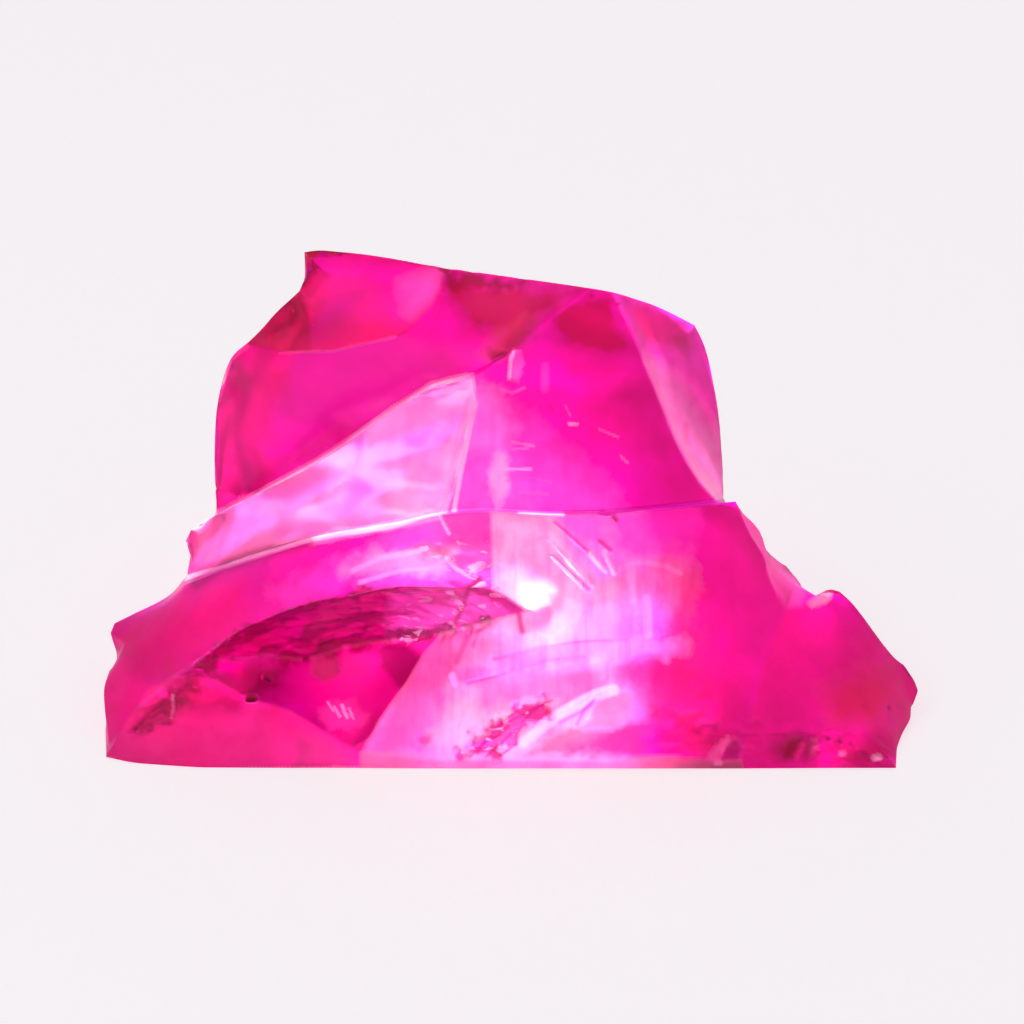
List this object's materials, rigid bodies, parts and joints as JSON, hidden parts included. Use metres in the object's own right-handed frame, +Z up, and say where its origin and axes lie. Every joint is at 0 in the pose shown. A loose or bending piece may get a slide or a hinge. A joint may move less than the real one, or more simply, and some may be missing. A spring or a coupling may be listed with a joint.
{
  "type": "rough ruby",
  "caption": "Broken lump of clear pink-red corundum with stepped fracture faces, a hollow in its front and a flat base to stand on.",
  "frame": {"origin": "middle of the stone's bounding box at the level of its flat base", "axes": "+X along the stone's long side, +Y from the stepped front to the plain back, +Z up from the flat base"},
  "size_m": [0.0258, 0.0122, 0.0137],
  "materials": {
    "ruby": "clear pink-red crystal, glossy fracture faces with fine steps and a frosted hollow"
  },
  "bodies": {
    "root": {"ruby": "ruby"}
  },
  "joints": []
}
